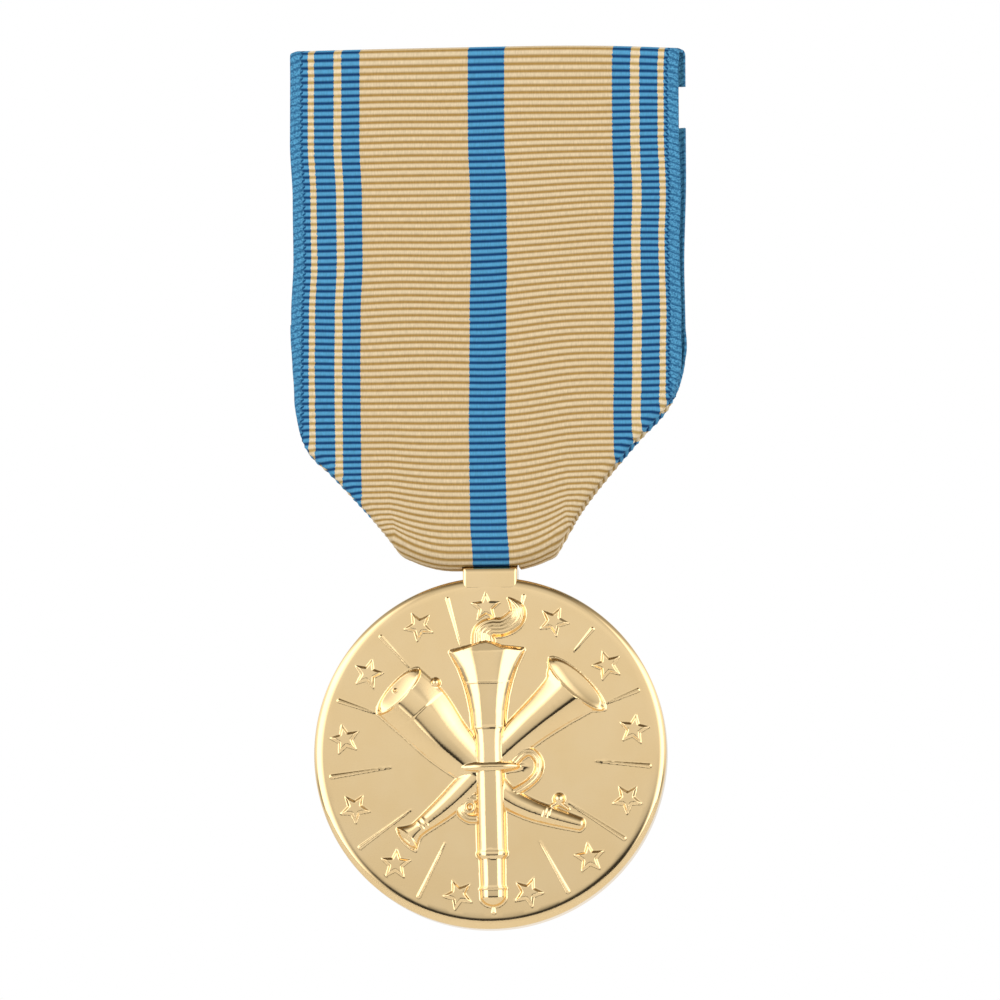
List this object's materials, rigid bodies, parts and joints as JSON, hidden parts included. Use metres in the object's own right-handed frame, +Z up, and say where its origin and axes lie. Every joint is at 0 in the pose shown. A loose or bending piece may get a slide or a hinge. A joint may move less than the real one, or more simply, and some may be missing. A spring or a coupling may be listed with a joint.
{
  "type": "military service medal",
  "caption": "Gilt round medallion with a struck torch, powder horn and bugle, hung on a folded striped ribbon with a brooch pin.",
  "frame": {"origin": "middle of the brooch pin's stem, where the medal is pinned to cloth", "axes": "+X right in a front view, along the pin; +Z up; +Y to the back, so the medallion's face looks along -Y"},
  "size_m": [0.035, 0.0065, 0.0806],
  "materials": {
    "gilt_bronze": "polished gold plate, struck relief",
    "striped_ribbon": "ribbed woven ribbon, buff with blue and cream stripes",
    "brooch_brass": "satin gilt brass",
    "pin_steel": "bright nickel-plated steel wire",
    "sewing_thread": "twisted buff sewing thread"
  },
  "bodies": {
    "drape": {"ribbon_drape": "striped_ribbon", "hanger_bar": "brooch_brass", "brooch_plate": "brooch_brass", "hinge_bracket": "brooch_brass", "hinge_rivet": "brooch_brass", "catch_base": "brooch_brass", "top_seam_thread": "sewing_thread", "rear_seam_thread": "sewing_thread", "left_corner_tack": "sewing_thread", "right_corner_tack": "sewing_thread"},
    "medallion": {"medallion": "gilt_bronze"},
    "pin": {"pin_stem": "pin_steel"},
    "lock": {"catch_lock": "brooch_brass"}
  },
  "joints": [
    {"name": "medallion_swing", "type": "hinge", "parent": "drape", "child": "medallion", "pos_m": [0, -0.00265, -0.041], "axis": [1, 0, 0], "range_deg": [-20, 60]},
    {"name": "pin_swing", "type": "hinge", "parent": "drape", "child": "pin", "pos_m": [-0.0132, 0, 0], "axis": [0, 0, 1], "range_deg": [0, 75]},
    {"name": "lock_turn", "type": "hinge", "parent": "drape", "child": "lock", "pos_m": [0.0125, 0, 0], "axis": [-1, 0, 0], "range_deg": [0, 110]}
  ]
}
